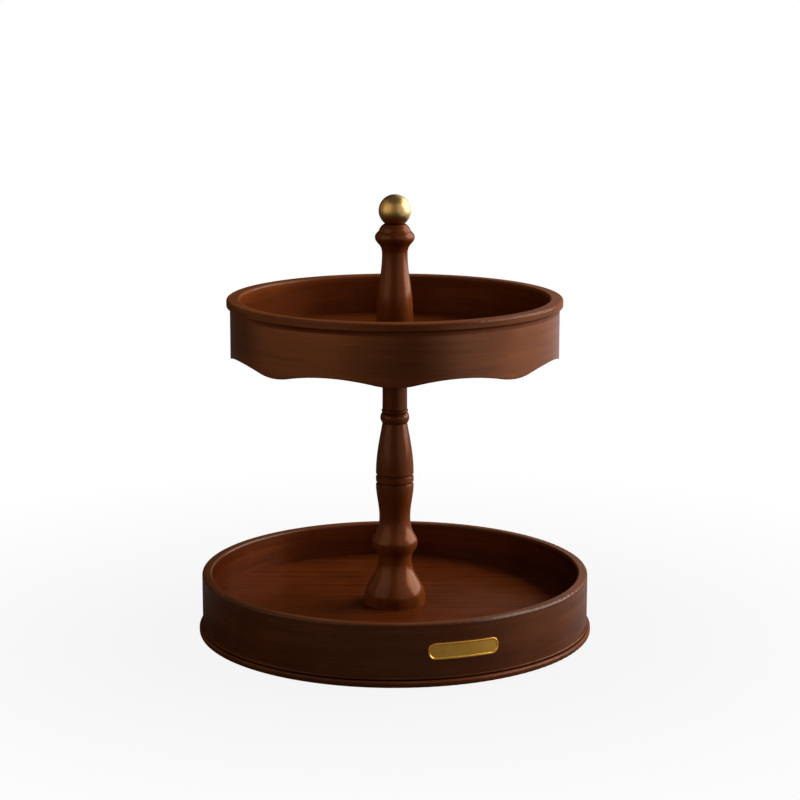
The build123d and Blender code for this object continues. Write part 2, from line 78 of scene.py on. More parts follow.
# Studio paper: the floor's reach, its bend and the wall's height
STUDIO_RADIUS = 3.6
STUDIO_BEND = 1.2
STUDIO_HEIGHT = 4.5
STUDIO_MIDDLE_SHARE = 1 / 3
STUDIO_BEND_STEPS = 24
STUDIO_SIDES = 96

# Studio paper: its own colour, and the share of white over it, near the object and far from it
PAPER_COLOUR = (0.16, 0.16, 0.16, 1.0)
PAPER_ROUGHNESS = 0.9
PAPER_SPECULAR = 0.1
PAPER_WHITE = (1.0, 1.0, 1.0, 1.0)
PAPER_NEAR_SHARE = 0.90
PAPER_FAR_SHARE = 1.0
PAPER_FADE = (0.17, 0.55)

# Paper as the lacquer mirrors it: white on the right window's side, which begins further out in front of the
# object, and a warm patch at the left front
WINDOW_SIDE_FADE = (0.0, 0.5)
FRONT_RETREAT = 0.75
FRONT_DEPTH = 1.3
FRONT_LEFT_DIRECTION = (-0.60, -0.37)
FRONT_LEFT_FADE = (0.68, 0.79)
FRONT_LEFT_SHARE = 0.5
FRONT_LEFT_COLOUR = (1.0, 0.70, 0.38, 1.0)

# Noise textures: the value that they swing about, and their usual roughness
NOISE_MIDDLE = 0.5
NOISE_ROUGHNESS = 0.55

# Wood colours: deep late wood, the stain's middle tone, pale early wood, the pores, and the pale colour of
# arrises, which is rubbed wear and also a painted highlight
WOOD_DEEP = (0.040, 0.0076, 0.0013, 1.0)
WOOD_MIDDLE = (0.102, 0.0232, 0.0048, 1.0)
WOOD_PALE = (0.175, 0.0470, 0.0115, 1.0)
WOOD_PORE = (0.028, 0.0066, 0.0018, 1.0)
WOOD_RUBBED_HIGHLIGHT = (0.280, 0.1080, 0.0440, 1.0)
WOOD_STOPS = [(0.1, WOOD_DEEP), (0.5, WOOD_MIDDLE), (0.9, WOOD_PALE)]

# Figure of the wood: width and fineness of its blotches, streaks, fibres and pores, and of the rings' wander
BLOTCH = {"width": 48.0 * MM, "detail": 2.0}
STREAK = {"width": 6.0 * MM, "detail": 3.0}
FIBRE = {"width": 1.3 * MM, "detail": 4.0, "roughness": 0.65}
PORE = {"width": 0.45 * MM, "detail": 1.0}
WANDER = {"width": 18.0 * MM, "detail": 1.0}
RING_PITCH = 7.0 * MM
RING_WANDER = 14.0 * MM
FIBRE_STRETCH = 24.0
PORE_STRETCH = 9.0
PORE_BAND = (0.13, 0.22)
PORE_STREAK_BAND = (-0.15, 0.15)
WOOD_RELIEF = {"distance": 0.03 * MM, "strength": 0.3}

# Cuts of wood: the axes that the grain runs along, the hoops' middle radius, the pith beside a turned piece's
# axis, and the steps that give each piece its own stretch of grain
GRAIN_AXES = {
    "hoop": (True, True, False),
    "board": (True, False, False),
    "turned": (False, False, True),
}
HOOP_RADIUS = 135.0 * MM
TURNED_PITH = (30.0 * MM, 22.0 * MM)
SEED_STEPS = (0.37, 0.61, 0.23)

# Share of each part of the figure in the wood's tone, lacquer, lustre, roughness and relief
TONE_SHARES = {"streak": 0.38, "fibre": 0.30, "ring": 0.07, "blotch": 0.40}
GLOSS_SHARES = {"blotch": 0.5, "pores": -0.5}
LUSTRE_SHARES = {"streak": 0.9, "fibre": 0.6, "pores": -0.6}
WOOD_ROUGHNESS = 0.46
WOOD_ROUGHNESS_SHARES = {"blotch": 0.16, "fibre": 0.08, "pores": 0.12}
WOOD_RELIEF_SHARES = {"fibre": 0.35, "pores": -1.0, "streak": 0.2}
PORE_COLOUR_SHARE = 0.5

# Wear: how unevenly arrises are rubbed, and what that takes from them; their pale colour is rubbed wear and a
# painted highlight. Grooves are drawn darker and less glossy
RUB_LEAST_SHARE = 0.6
RUB_BAND = (-0.3, 0.3)
RUBBED_HIGHLIGHT_COLOUR_SHARE = 0.3
WORN_GLOSS_SHARE = 0.6
WORN_LUSTRE_FADE = (0.0, 0.5)
GROOVE_DARKENING_SHARE = 0.7
GROOVE_GLOSS_SHARE = 0.5

# Finish of each kind of piece: its clear lacquer, and the share of the light that its fibres give back
HOOP_FINISH = {"gloss": 0.34, "lustre": 0.078}
RIM_FINISH = {"gloss": 0.20, "lustre": 0.035}
BOARD_FINISH = {"gloss": 0.06, "lustre": 0.035}
TURNED_FINISH = {"gloss": 0.16, "lustre": 0.019}
LACQUER_ROUGHNESS = 0.19
LUSTRE_COLOUR = (0.95, 0.33, 0.105, 1.0)
LUSTRE_ROUGHNESS = 0.26

# Wooden pieces: the material's name, the cut, the stain from deep at 0 to pale at 1, and the finish
WOODS = {
    # The lower hoop's stain is set deeper than the upper hoop's as painted shade, which draws the lower tray
    # darker
    "lower_tray_wall": ("lower_hoop_shaded_wood", "hoop", 0.13, HOOP_FINISH),
    "upper_tray_wall": ("upper_hoop_wood", "hoop", 0.30, HOOP_FINISH),
    "upper_tray_rim": ("rim_wood", "hoop", 0.46, RIM_FINISH),
    "lower_tray_floor": ("lower_floor_wood", "board", 0.30, BOARD_FINISH),
    "upper_tray_floor": ("upper_floor_wood", "board", 0.38, BOARD_FINISH),
    "base_ring": ("base_wood", "board", 0.28, RIM_FINISH),
    "lower_post": ("lower_post_wood", "turned", 0.56, TURNED_FINISH),
    "upper_post": ("upper_post_wood", "turned", 0.50, TURNED_FINISH),
}

# Rounded tops of the hoops, and edges of the lower hoop's lip and the base, drawn paler as rubbed wear and as
# painted highlight
LOWER_WALL_RADIUS = 147.3 * MM
HOOP_THICKNESS = 7.5 * MM
LOWER_TOP_ROUND = 1.6 * MM
RIM_TOP_ROUND = 1.7 * MM
LEAST_RISE = 0.001 * MM
LIP_HEIGHT = 1.4 * MM
LIP_REACH = 2.0 * MM
BASE_REACH = 3.0 * MM

# Grooves and quirks of the posts: their radius, their height as a share of the post's, and the reach of their
# darkening
POST_GROOVE_RADIUS = 13.4 * MM
POST_GROOVE_SHARES = (0.4705, 0.4995)
POST_QUIRK_RADIUS = 9.4 * MM
POST_QUIRK_SHARES = (0.7, 0.742, 0.753)
SHAFT_QUIRK_RADIUS = 12.3 * MM
SHAFT_QUIRK_SHARES = (0.934,)
GROOVE_REACH = 1.6 * MM
QUIRK_REACH = 1.0 * MM

# Satin brass: polishing lines, tarnish and scratches, and the share of each in the looks
POLISH_LINES = {"width": 0.18 * MM, "detail": 3.0, "roughness": 0.7}
TARNISH = {"width": 7.0 * MM, "detail": 3.0}
SCRATCH = {"width": 0.5 * MM, "detail": 1.0}
SCRATCH_STRETCH = (1.0, 0.12, 0.35)
SCRATCH_BAND = (0.20, 0.24)
TARNISH_SHARES = {"tarnish": 0.7, "lines": 0.3}
TARNISH_BAND = (-0.15, 0.20)
SCRATCH_COLOUR_SHARE = 0.4
BRASS_ROUGHNESS_SHARES = {"tarnish": 0.16, "lines": 0.16, "scratch": -0.08}
BRASS_RELIEF_SHARES = {"lines": 1.0, "scratch": 0.6}
BRASS_RELIEF = {"distance": 0.012 * MM, "strength": 0.25}

# Brass pieces: the ball is pale and satin, the plate is a deeper gold, and lines run along the squeezed axes
BALL_BRASS = {
    "bright": (0.43, 0.295, 0.125, 1.0),
    "tarnished": (0.295, 0.182, 0.048, 1.0),
    "roughness_middle": 0.36,
    "squeeze": (0.1, 0.1, 1.0),
}
PLATE_BRASS = {
    "bright": (0.90, 0.51, 0.105, 1.0),
    "tarnished": (0.69, 0.36, 0.056, 1.0),
    "roughness_middle": 0.31,
    "squeeze": (0.03, 0.03, 1.0),
}

# Machined metal: tool rings and cloudy plating, and the share of each in the looks
TOOL_RINGS = {"width": 0.22 * MM, "detail": 2.0, "roughness": 0.7}
PLATING_CLOUD = {"width": 5.0 * MM, "detail": 3.0}
METAL_COLOUR_SHARES = {"cloud": 0.6, "rings": 0.4}
METAL_COLOUR_BAND = (-0.2, 0.2)
METAL_ROUGHNESS_SHARES = {"rings": 0.18, "cloud": 0.16}
METAL_RELIEF = {"distance": 0.01 * MM, "strength": 0.25}

# Metals of the bearing and the fasteners
ALUMINIUM = {"dull": (0.52, 0.53, 0.54, 1.0), "bright": (0.68, 0.68, 0.69, 1.0), "roughness_middle": 0.34}
STEEL = {"dull": (0.60, 0.60, 0.62, 1.0), "bright": (0.74, 0.74, 0.76, 1.0), "roughness_middle": 0.16}
ZINC = {"dull": (0.46, 0.48, 0.52, 1.0), "bright": (0.62, 0.64, 0.67, 1.0), "roughness_middle": 0.36}
INSERT_BRASS = {"dull": (0.44, 0.28, 0.09, 1.0), "bright": (0.58, 0.39, 0.15, 1.0), "roughness_middle": 0.30}
METAL_PIECES = {
    "outer_race": ("outer_race_aluminium", ALUMINIUM),
    "inner_race": ("inner_race_aluminium", ALUMINIUM),
    "bearing_balls": ("ball_steel", STEEL),
    "outer_race_screws": ("outer_race_screws_zinc", ZINC),
    "post_bolt": ("post_bolt_zinc", ZINC),
    "post_washer": ("post_washer_zinc", ZINC),
    "joining_stud": ("joining_stud_zinc", ZINC),
    "finial_stud": ("finial_stud_zinc", ZINC),
    "lower_post_foot_insert": ("lower_post_foot_insert_brass", INSERT_BRASS),
    "lower_post_top_insert": ("lower_post_top_insert_brass", INSERT_BRASS),
    "upper_post_insert": ("upper_post_insert_brass", INSERT_BRASS),
    "finial_insert": ("finial_insert_brass", INSERT_BRASS),
}

# Moulded nylon and rubber: flow marks and skin grain
FLOW_MARKS = {"width": 9.0 * MM, "detail": 3.0}
FLOW_STRETCH = (1.0, 1.0, 0.3)
GRAIN_DETAIL = 2.0
GRAIN_ROUGHNESS_SHARE = 0.2
GRAIN_STRENGTH = 0.4
CAGE_NYLON = {
    "dark": (0.70, 0.68, 0.62, 1.0),
    "pale": (0.78, 0.76, 0.71, 1.0),
    "roughness_middle": 0.45,
    "grain_width": 0.3 * MM,
    "grain_depth": 0.01 * MM,
}
FOOT_RUBBER = {
    "dark": (0.016, 0.016, 0.017, 1.0),
    "pale": (0.026, 0.025, 0.026, 1.0),
    "roughness_middle": 0.7,
    "grain_width": 0.5 * MM,
    "grain_depth": 0.03 * MM,
}

# Brass plate: the place and size that it has in the frame, and its raised border
PLATE_ANGLE = math.radians(19.5)
PLATE_LENGTH = 53.6 * MM
PLATE_CORNER = 5.2 * MM
PLATE_THICKNESS = 1.2 * MM
PLATE_BACK_RADIUS = 147.4 * MM
PLATE_FIELD_DROP = 0.4 * MM
PLATE_BORDER = 1.1 * MM
PLATE_EDGE = 0.3 * MM
INNER_EDGE_WIDTH = 0.15 * MM
INNER_EDGE_DROP = 0.09 * MM
PLATE_EDGE_STEPS = 5
PLATE_SIDE_STEPS = 30
PLATE_CORNER_STEPS = 10

# Screws of the inner race: a cross recess in a countersunk head, divided at shares of a quarter turn
SCREW_COUNT = 6
SCREW_CIRCLE = 78.3 * MM
SCREW_HEAD = 3.0 * MM
SCREW_SHANK = 1.5 * MM
HEAD_FLAT_SHARE = 0.95
HEAD_EDGE_SHARE = 0.05
HEAD_STEP_SHARES = (0.25, 0.5, 0.75)
CROSS_ARMS = 4
CROSS_REACH = 1.7 * MM
CROSS_WIDTH = 0.38 * MM
CROSS_DEPTH = 0.9 * MM
CROSS_FLOOR_SHARE = 0.6
CROSS_FLOOR_DEPTH_SHARE = 0.8
LEAST_DIVISOR = 1e-9

# Meshes: points this near are merged, and edges past this angle stay sharp
MERGE_DISTANCE = 0.001 * MM
SHARP_ANGLE = math.radians(35)

# Sockets of a Mix node: its two values and its result, for each kind of value
MIX_SOCKETS = {"RGBA": (6, 7, 2), "VECTOR": (4, 5, 1)}


class Wire:
    """A socket of one material's node tree. Arithmetic on it adds Math nodes to that tree."""

    def __init__(self, tree, socket):
        self.tree = tree
        self.socket = socket

    def node(self, kind, settings, sockets, output=0):
        """Add a node of any kind: its settings first, then the values or links of its sockets."""
        made = self.tree.nodes.new(kind)
        for name, value in settings.items():
            if name == "stops":
                set_stops(made.color_ramp, value)
            else:
                setattr(made, name, value)
        feed(made, sockets)
        return Wire(self.tree, made.outputs[output])

    def math(self, operation, first, second):
        """Add a Math node on two wires or numbers."""
        return self.node("ShaderNodeMath", {"operation": operation}, {0: first, 1: second})

    def __add__(self, other):
        return self.math("ADD", self, other)

    def __radd__(self, other):
        return self.math("ADD", other, self)

    def __sub__(self, other):
        return self.math("SUBTRACT", self, other)

    def __rsub__(self, other):
        return self.math("SUBTRACT", other, self)

    def __mul__(self, other):
        return self.math("MULTIPLY", self, other)

    def __rmul__(self, other):
        return self.math("MULTIPLY", other, self)

    def __truediv__(self, other):
        return self.math("DIVIDE", self, other)

    def __rtruediv__(self, other):
        return self.math("DIVIDE", other, self)

    def __pow__(self, other):
        return self.math("POWER", self, other)


def feed(node, sockets):
    """Set or link the input sockets of a node, by name or by number."""
    for key, value in sockets.items():
        if isinstance(value, Wire):
            value.tree.links.new(value.socket, node.inputs[key])
        else:
            node.inputs[key].default_value = value


def set_stops(ramp, stops):
    """Give a colour ramp its stops, a list of places and colours."""
    while len(ramp.elements) < len(stops):
        ramp.elements.new(1.0)
    for element, (place, colour) in zip(ramp.elements, stops):
        element.position = place
        element.color = colour


def shader_wire(shader):
    """What a shader gives, as a wire."""
    return Wire(shader.id_data, shader.outputs[0])


def new_material(name):
    """A material, its main shader, and the object's own coordinates as a wire."""
    material = bpy.data.materials.new(name)
    material.use_nodes = True
    shader = material.node_tree.nodes["Principled BSDF"]
    place = shader_wire(shader).node("ShaderNodeTexCoord", {}, {}, "Object")
    return material, shader, place


def show_blend(share, first, second):
    """Show the first shader where share is 0, and the second where it is 1."""
    shown = share.node("ShaderNodeMixShader", {}, {0: share, 1: first, 2: second})
    feed(share.tree.nodes["Material Output"], {"Surface": shown})


def axes(place):
    """The three parts of a vector."""
    first = place.node("ShaderNodeSeparateXYZ", {}, {0: place})
    return [Wire(place.tree, output) for output in first.socket.node.outputs]


def combine(x, y, z):
    """A vector from three wires or numbers, of which the first is a wire."""
    return x.node("ShaderNodeCombineXYZ", {}, {0: x, 1: y, 2: z})


def scaled(place, factors):
    """A vector with each part multiplied by its own factor."""
    return place.node("ShaderNodeVectorMath", {"operation": "MULTIPLY"}, {0: place, 1: factors})


def shifted(place, offset):
    """A vector moved by a fixed offset."""
    return place.node("ShaderNodeVectorMath", {"operation": "ADD"}, {0: place, 1: offset})


def length(first, second):
    """The length of a step whose two parts are at right angles."""
    return (first * first + second * second) ** 0.5


def noise(place, width, detail, roughness=NOISE_ROUGHNESS):
    """Smooth noise that swings about 0, with features about as wide as width, in metres."""
    sockets = {"Vector": place, "Scale": 1.0 / width, "Detail": detail, "Roughness": roughness}
    return place.node("ShaderNodeTexNoise", {}, sockets, "Fac") - NOISE_MIDDLE


def ramp(value, low, high):
    """0 as far as low, 1 from high on, and an even change between them."""
    sockets = {"Value": value, "From Min": low, "From Max": high}
    return value.node("ShaderNodeMapRange", {"clamp": True}, sockets)


def weighed(start, parts, shares):
    """A start value, and on top of it each named part times its share."""
    return sum((parts[name] * share for name, share in shares.items()), start)


def mix(share, first, second, kind="RGBA"):
    """The first colour or vector where share is 0, the second where it is 1."""
    first_socket, second_socket, result = MIX_SOCKETS[kind]
    sockets = {0: share, first_socket: first, second_socket: second}
    return share.node("ShaderNodeMix", {"data_type": kind}, sockets, result)


def bump(height, distance, strength, normal=None):
    """A Normal for the shader from a height, over the mesh's own normal or a given one."""
    sockets = {"Height": height, "Distance": distance, "Strength": strength}
    if normal is not None:
        sockets["Normal"] = normal
    return height.node("ShaderNodeBump", {}, sockets)


def near_circle(radius, height, edge_radius, edge_height, reach):
    """1 on a circle round the axis, and 0 from reach away on."""
    distance = length(radius - edge_radius, height - edge_height)
    return 1.0 - ramp(distance, 0.0, reach)


def rounded_top_normal(place, outer, inner, top, rounding):
    """The true normal of a hoop's rounded top, where the frame's mesh has small facets. It points away from
    the centre of the outer or the inner rounding, and straight up between them."""
    x, y, z = axes(place)
    radius = length(x, y)
    past_outer = radius.math("MAXIMUM", radius - (outer - rounding), 0.0)
    past_inner = radius.math("MINIMUM", radius - (inner + rounding), 0.0)
    outwards = (past_outer + past_inner) / radius
    upwards = z.math("MAXIMUM", z - (top - rounding), LEAST_RISE)
    away = combine(x * outwards, y * outwards, upwards)
    to_world = {"vector_type": "NORMAL", "convert_from": "OBJECT", "convert_to": "WORLD"}
    true_normal = away.node("ShaderNodeVectorTransform", to_world, {0: away})
    mesh_normal = place.node("ShaderNodeNewGeometry", {}, {}, "Normal")
    near_top = ramp(z, top - 2 * rounding, top - rounding)
    return mix(near_top, mesh_normal, true_normal, "VECTOR")


def along_grain(cut, stretch):
    """Factors that stretch a pattern along the grain of a cut."""
    return tuple(1 / stretch if runs_along else 1.0 for runs_along in GRAIN_AXES[cut])


def wood_figure(place, cut, seed):
    """The figure of the wood: blotches in the stain, streaks and fibres along the grain, rings across it, and
    pores in the pale streaks. The pores go from 0 to 1, and the rest swings about 0."""
    x, y, z = axes(place)
    laid = place
    if cut == "hoop":
        radius = length(x, y)
        across = z + radius
        turn = HOOP_RADIUS / radius
        laid = combine(x * turn, y * turn, across)
    elif cut == "board":
        across = y
    else:
        across = length(x - TURNED_PITH[0], y - TURNED_PITH[1])
    offset = tuple(step * seed for step in SEED_STEPS)
    fibres = shifted(scaled(laid, along_grain(cut, FIBRE_STRETCH)), offset)
    pore_place = shifted(scaled(laid, along_grain(cut, PORE_STRETCH)), offset)
    streak = noise(fibres, **STREAK)
    turns = (across + noise(fibres, **WANDER) * RING_WANDER) / RING_PITCH
    return {
        "blotch": noise(shifted(place, offset), **BLOTCH),
        "streak": streak,
        "fibre": noise(fibres, **FIBRE),
        "ring": turns.math("PINGPONG", turns, 1.0) - NOISE_MIDDLE,
        "pores": ramp(noise(pore_place, **PORE), *PORE_BAND) * ramp(streak, *PORE_STREAK_BAND),
    }


def stained_wood(name, cut, seed, stain, finish, rubbed_highlight_edges, grooves, rounded_top):
    """Dark stained wood under satin lacquer, with a little of a metallic shader for the lustre of its fibres.
    Fibres run round the axis in a hoop, along X in a board, and along Z in a turned piece.
    rubbed_highlight_edges and grooves are circles of radius, height and reach; the edges are drawn paler, as
    rubbed wear and as painted highlight, and the grooves darker. rounded_top is a hoop's rounded top, drawn
    paler in the same way, or None."""
    material, shader, place = new_material(name)
    x, y, z = axes(place)
    radius = length(x, y)
    figure = wood_figure(place, cut, seed)
    tone = weighed(stain, figure, TONE_SHARES)
    colour = tone.node("ShaderNodeValToRGB", {"stops": WOOD_STOPS}, {0: tone})
    colour = mix(figure["pores"] * PORE_COLOUR_SHARE, colour, WOOD_PORE)
    gloss = finish["gloss"] * weighed(1.0, figure, GLOSS_SHARES)
    lustre = finish["lustre"] * weighed(1.0, figure, LUSTRE_SHARES)
    roughness = weighed(WOOD_ROUGHNESS, figure, WOOD_ROUGHNESS_SHARES)

    normal = None
    rubbed_highlight_places = [near_circle(radius, z, *edge) for edge in rubbed_highlight_edges]
    if rounded_top is not None:
        normal = rounded_top_normal(place, **rounded_top)
        top = rounded_top["top"]
        rubbed_highlight_places.append(ramp(z, top - 2 * rounded_top["rounding"], top))
    rub_swing = ramp(figure["streak"] + figure["blotch"], *RUB_BAND)
    rubbed = RUB_LEAST_SHARE + (1.0 - RUB_LEAST_SHARE) * rub_swing
    for rubbed_highlight_place in rubbed_highlight_places:
        rubbed_highlight = rubbed_highlight_place * rubbed
        # Paler colour at arrises: rubbed wear, and a painted highlight along them
        colour = mix(rubbed_highlight * RUBBED_HIGHLIGHT_COLOUR_SHARE, colour, WOOD_RUBBED_HIGHLIGHT)
        gloss = gloss * (1.0 - rubbed_highlight * WORN_GLOSS_SHARE)
        lustre = lustre * (1.0 - ramp(rubbed_highlight, *WORN_LUSTRE_FADE))
    for groove in grooves:
        groove_darkening = near_circle(radius, z, *groove)
        # Grooves and quirks are drawn darker and less glossy
        colour = mix(groove_darkening * GROOVE_DARKENING_SHARE, colour, WOOD_PORE)
        gloss = gloss - groove_darkening * (GROOVE_GLOSS_SHARE * finish["gloss"])

    relief = bump(weighed(0.0, figure, WOOD_RELIEF_SHARES), **WOOD_RELIEF, normal=normal)
    feed(shader, {
        "Base Color": colour,
        "Roughness": roughness,
        "Normal": relief,
        "Coat Weight": gloss,
        "Coat Roughness": LACQUER_ROUGHNESS,
        "Specular IOR Level": 0.0,
    })
    fibre_shader = lustre.node("ShaderNodeBsdfPrincipled", {}, {
        "Base Color": LUSTRE_COLOUR,
        "Metallic": 1.0,
        "Roughness": LUSTRE_ROUGHNESS,
        "Normal": relief,
    })
    show_blend(lustre, shader_wire(shader), fibre_shader)
    return material


def satin_brass(name, bright, tarnished, roughness_middle, squeeze):
    """Satin brass: fine polishing lines along the squeezed axes, soft tarnish and small bright scratches."""
    material, shader, place = new_material(name)
    marks = {
        "lines": noise(scaled(place, squeeze), **POLISH_LINES),
        "tarnish": noise(place, **TARNISH),
        "scratch": ramp(noise(scaled(place, SCRATCH_STRETCH), **SCRATCH), *SCRATCH_BAND),
    }
    tarnish_share = ramp(weighed(0.0, marks, TARNISH_SHARES), *TARNISH_BAND)
    colour = mix(tarnish_share, bright, tarnished)
    colour = mix(marks["scratch"] * SCRATCH_COLOUR_SHARE, colour, bright)
    roughness = weighed(roughness_middle, marks, BRASS_ROUGHNESS_SHARES)
    relief = bump(weighed(0.0, marks, BRASS_RELIEF_SHARES), **BRASS_RELIEF)
    feed(shader, {"Base Color": colour, "Metallic": 1.0, "Roughness": roughness, "Normal": relief})
    return material


def machined_metal(name, dull, bright, roughness_middle):
    """Turned or plated metal: fine rings round the axis and a cloudy plating."""
    material, shader, place = new_material(name)
    x, y, z = axes(place)
    marks = {
        "rings": noise(combine(length(x, y), z, 0.0), **TOOL_RINGS),
        "cloud": noise(place, **PLATING_CLOUD),
    }
    bright_share = ramp(weighed(0.0, marks, METAL_COLOUR_SHARES), *METAL_COLOUR_BAND)
    colour = mix(bright_share, dull, bright)
    roughness = weighed(roughness_middle, marks, METAL_ROUGHNESS_SHARES)
    relief = bump(marks["rings"], **METAL_RELIEF)
    feed(shader, {"Base Color": colour, "Metallic": 1.0, "Roughness": roughness, "Normal": relief})
    return material


def moulded(name, dark, pale, roughness_middle, grain_width, grain_depth):
    """Moulded rubber or plastic: a fine skin grain and faint flow marks."""
    material, shader, place = new_material(name)
    grain = noise(place, grain_width, GRAIN_DETAIL)
    flow = noise(scaled(place, FLOW_STRETCH), **FLOW_MARKS)
    colour = mix(flow + NOISE_MIDDLE, dark, pale)
    roughness = roughness_middle + grain * GRAIN_ROUGHNESS_SHARE
    relief = bump(grain, grain_depth, GRAIN_STRENGTH)
    feed(shader, {"Base Color": colour, "Roughness": roughness, "Normal": relief})
    return material


def surface(name, grids, material):
    """One object from grids of points, each rows by columns by XYZ, whose columns run round and close. Points
    that fall together are merged, which closes the poles, and the faces are turned outwards."""
    points = []
    quads = []
    count = 0
    for grid in grids:
        rows, columns = grid.shape[:2]
        index = count + np.arange(rows * columns).reshape(rows, columns)
        following = np.roll(index, -1, axis=1)
        corners = [index[:-1], following[:-1], following[1:], index[1:]]
        quads.append(np.stack(corners, axis=-1).reshape(-1, 4))
        points.append(grid.reshape(-1, 3))
        count += rows * columns
    mesh = bpy.data.meshes.new(name)
    mesh.from_pydata(np.concatenate(points).tolist(), [], np.concatenate(quads).tolist())
    work = bmesh.new()
    work.from_mesh(mesh)
    bmesh.ops.remove_doubles(work, verts=work.verts, dist=MERGE_DISTANCE)
    bmesh.ops.recalc_face_normals(work, faces=work.faces)
    work.to_mesh(mesh)
    work.free()
    mesh.shade_smooth()
    mesh.set_sharp_from_angle(angle=SHARP_ANGLE)
    mesh.materials.append(material)
    piece = bpy.data.objects.new(name, mesh)
    bpy.context.scene.collection.objects.link(piece)
    return piece


def rounded_outline(width, height, corner):
    """Points round a rectangle with rounded corners, as offsets from its middle: a quarter arc at the upper
    right, the top side divided evenly, the same arc mirrored at the left, and all of it mirrored below."""
    arc = np.linspace(0.0, QUARTER_TURN, PLATE_CORNER_STEPS)
    half_width = width / 2 - corner
    half_height = height / 2 - corner
    along = np.linspace(half_width, -half_width, PLATE_SIDE_STEPS)[1:-1]
    right = np.stack([half_width + corner * np.cos(arc), half_height + corner * np.sin(arc)], axis=1)
    top = np.stack([along, np.full_like(along, height / 2)], axis=1)
    left = right[::-1] * (-1, 1)
    upper = np.concatenate([right, top, left])
    return np.concatenate([upper, upper[::-1] * (1, -1)])


def plate_grid(height, middle_height):
    """The brass plate as rings of its outline. Ring by ring the outline steps in by an inset while the
    surface rises from the back, over the rounded border, and drops to the field; the first and last ring lie
    on the middle line. Each point is then bent round the wall: sideways is an angle, thickness a radius."""
    edge = np.linspace(0.0, QUARTER_TURN, PLATE_EDGE_STEPS)
    rise = PLATE_THICKNESS - PLATE_EDGE
    insets = np.concatenate([
        [0.0, 0.0],
        PLATE_EDGE * (1 - np.cos(edge)),
        PLATE_BORDER - INNER_EDGE_WIDTH * (1 - np.sin(edge)),
        [PLATE_BORDER + PLATE_FIELD_DROP],
    ])
    levels = np.concatenate([
        [0.0, rise / 2],
        rise + PLATE_EDGE * np.sin(edge),
        PLATE_THICKNESS - INNER_EDGE_DROP * (1 - np.cos(edge)),
        [PLATE_THICKNESS - PLATE_FIELD_DROP],
    ])
    outlines = [
        rounded_outline(PLATE_LENGTH - 2 * inset, height - 2 * inset, PLATE_CORNER - inset)
        for inset in insets
    ]
    reach = PLATE_LENGTH / 2 - height / 2
    back_line, middle_line = [
        np.clip(outline * (1, 0), -reach, reach)
        for outline in (outlines[0], outlines[-1])
    ]
    flat = np.stack([back_line] + outlines + [middle_line])
    level = np.concatenate([levels[:1], levels, levels[-1:]])[:, None]
    angle = PLATE_ANGLE + flat[..., 0] / (PLATE_BACK_RADIUS + PLATE_THICKNESS)
    radius = PLATE_BACK_RADIUS + level
    upwards = middle_height + flat[..., 1]
    return np.stack([radius * np.sin(angle), -radius * np.cos(angle), upwards], axis=-1)


def screw_grid(height, low, turn):
    """A countersunk screw seen from below: rings round its own axis. The recess is a cross, whose outline is
    the longer of the two arms' reaches at each angle; further out the rings are circles of the head and the
    shank."""
    arm_corner = math.atan2(CROSS_WIDTH, CROSS_REACH)
    between_arms = [QUARTER_TURN * share for share in HEAD_STEP_SHARES]
    quarter = np.array([-arm_corner, 0.0, arm_corner] + between_arms)
    angles = np.concatenate([quarter + step * QUARTER_TURN for step in range(CROSS_ARMS)])
    across = np.abs(np.cos(angles)) + LEAST_DIVISOR
    upright = np.abs(np.sin(angles)) + LEAST_DIVISOR
    flat_arm = np.minimum(CROSS_REACH / across, CROSS_WIDTH / upright)
    tall_arm = np.minimum(CROSS_REACH / upright, CROSS_WIDTH / across)
    cross = np.maximum(flat_arm, tall_arm)
    circle = np.ones_like(angles)
    spread = np.stack([
        0.0 * circle,
        CROSS_FLOOR_SHARE * cross,
        cross,
        HEAD_FLAT_SHARE * SCREW_HEAD * circle,
        SCREW_HEAD * circle,
        SCREW_SHANK * circle,
        SCREW_SHANK * circle,
        0.0 * circle,
    ])
    depths = np.array([
        CROSS_DEPTH,
        CROSS_FLOOR_DEPTH_SHARE * CROSS_DEPTH,
        0.0,
        0.0,
        HEAD_EDGE_SHARE * SCREW_HEAD,
        SCREW_HEAD - SCREW_SHANK,
        height - SCREW_SHANK,
        height,
    ])
    x = SCREW_CIRCLE * math.cos(turn) + spread * np.cos(angles)
    y = SCREW_CIRCLE * math.sin(turn) + spread * np.sin(angles)
    z = np.broadcast_to(low + depths[:, None], x.shape)
    return np.stack([x, y, z], axis=-1)


def dress(node, material):
    """Give a CAD node its material."""
    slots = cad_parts[node].data.materials
    slots.clear()
    slots.append(material)


def groove_circles(low, high, radius, height_shares, reach):
    """Circles of a post's grooves, from the corners of its box: radius, height and reach."""
    return [(radius, low.z + share * (high.z - low.z), reach) for share in height_shares]


# Arrises drawn paler, as rubbed wear and as painted highlight, and grooves drawn darker, placed by the boxes
# of the frame's nodes
lower_low, lower_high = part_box("lower_tray_wall")
_, rim_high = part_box("upper_tray_rim")
_, apron_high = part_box("upper_tray_wall")
_, base_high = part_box("base_ring")
post_low, post_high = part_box("lower_post")
shaft_low, shaft_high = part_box("upper_post")
rubbed_highlight_edges = {
    "lower_tray_wall": [(lower_high.x, lower_low.z + LIP_HEIGHT, LIP_REACH)],
    "base_ring": [(base_high.x, base_high.z, BASE_REACH)],
}
rounded_tops = {
    "lower_tray_wall": {
        "outer": LOWER_WALL_RADIUS,
        "inner": LOWER_WALL_RADIUS - HOOP_THICKNESS,
        "top": lower_high.z,
        "rounding": LOWER_TOP_ROUND,
    },
    "upper_tray_rim": {
        "outer": rim_high.x,
        "inner": apron_high.x - HOOP_THICKNESS,
        "top": rim_high.z,
        "rounding": RIM_TOP_ROUND,
    },
}
